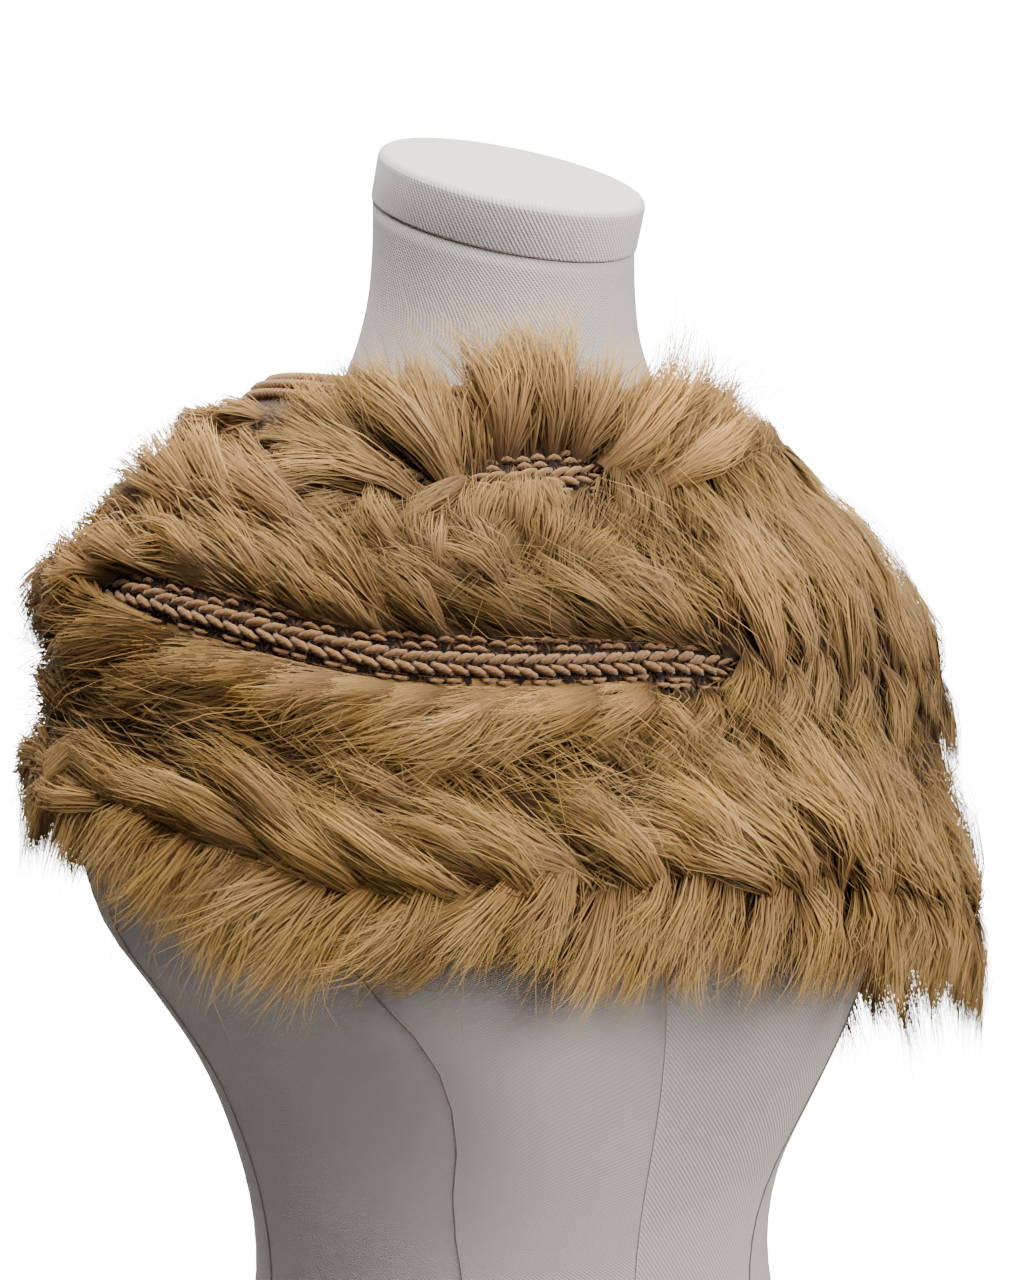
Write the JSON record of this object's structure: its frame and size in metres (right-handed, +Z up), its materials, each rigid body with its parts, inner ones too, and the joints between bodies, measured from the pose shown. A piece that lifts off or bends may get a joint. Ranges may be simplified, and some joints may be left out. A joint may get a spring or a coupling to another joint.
{
  "type": "fur collar wrap on a limbless dress form",
  "caption": "Knitted tube wrap with rows of long fur locks between braided rows, worn round the shoulders of a limbless dress form with a sloping neck cap.",
  "frame": {"origin": "middle of the dress form's flat base, where it stands", "axes": "+Z up, -Y out of the front of the form, +X to the wearer's left"},
  "size_m": [0.4643, 0.3338, 0.7112],
  "materials": {
    "form_cloth": "matt off-white linen twill drawn tight over the form",
    "cap_cloth": "matt off-white cloth over the neck cap",
    "knit": "brown knitted yarn",
    "braid_yarn": "pinkish brown twisted yarn, plaited",
    "fur": "golden tan fur with paler tips and dark roots"
  },
  "bodies": {
    "root": {"form_torso": "form_cloth", "form_neck_cap": "cap_cloth", "knit_tube": "knit", "knit_top_rib": "knit", "braid_neck": "braid_yarn", "braid_shoulder": "braid_yarn", "braid_lower": "braid_yarn", "fur_neck": "fur", "fur_shoulder_upper": "fur", "fur_shoulder_lower": "fur", "fur_chest_upper": "fur", "fur_chest_lower": "fur", "fur_hem": "fur"}
  },
  "joints": []
}
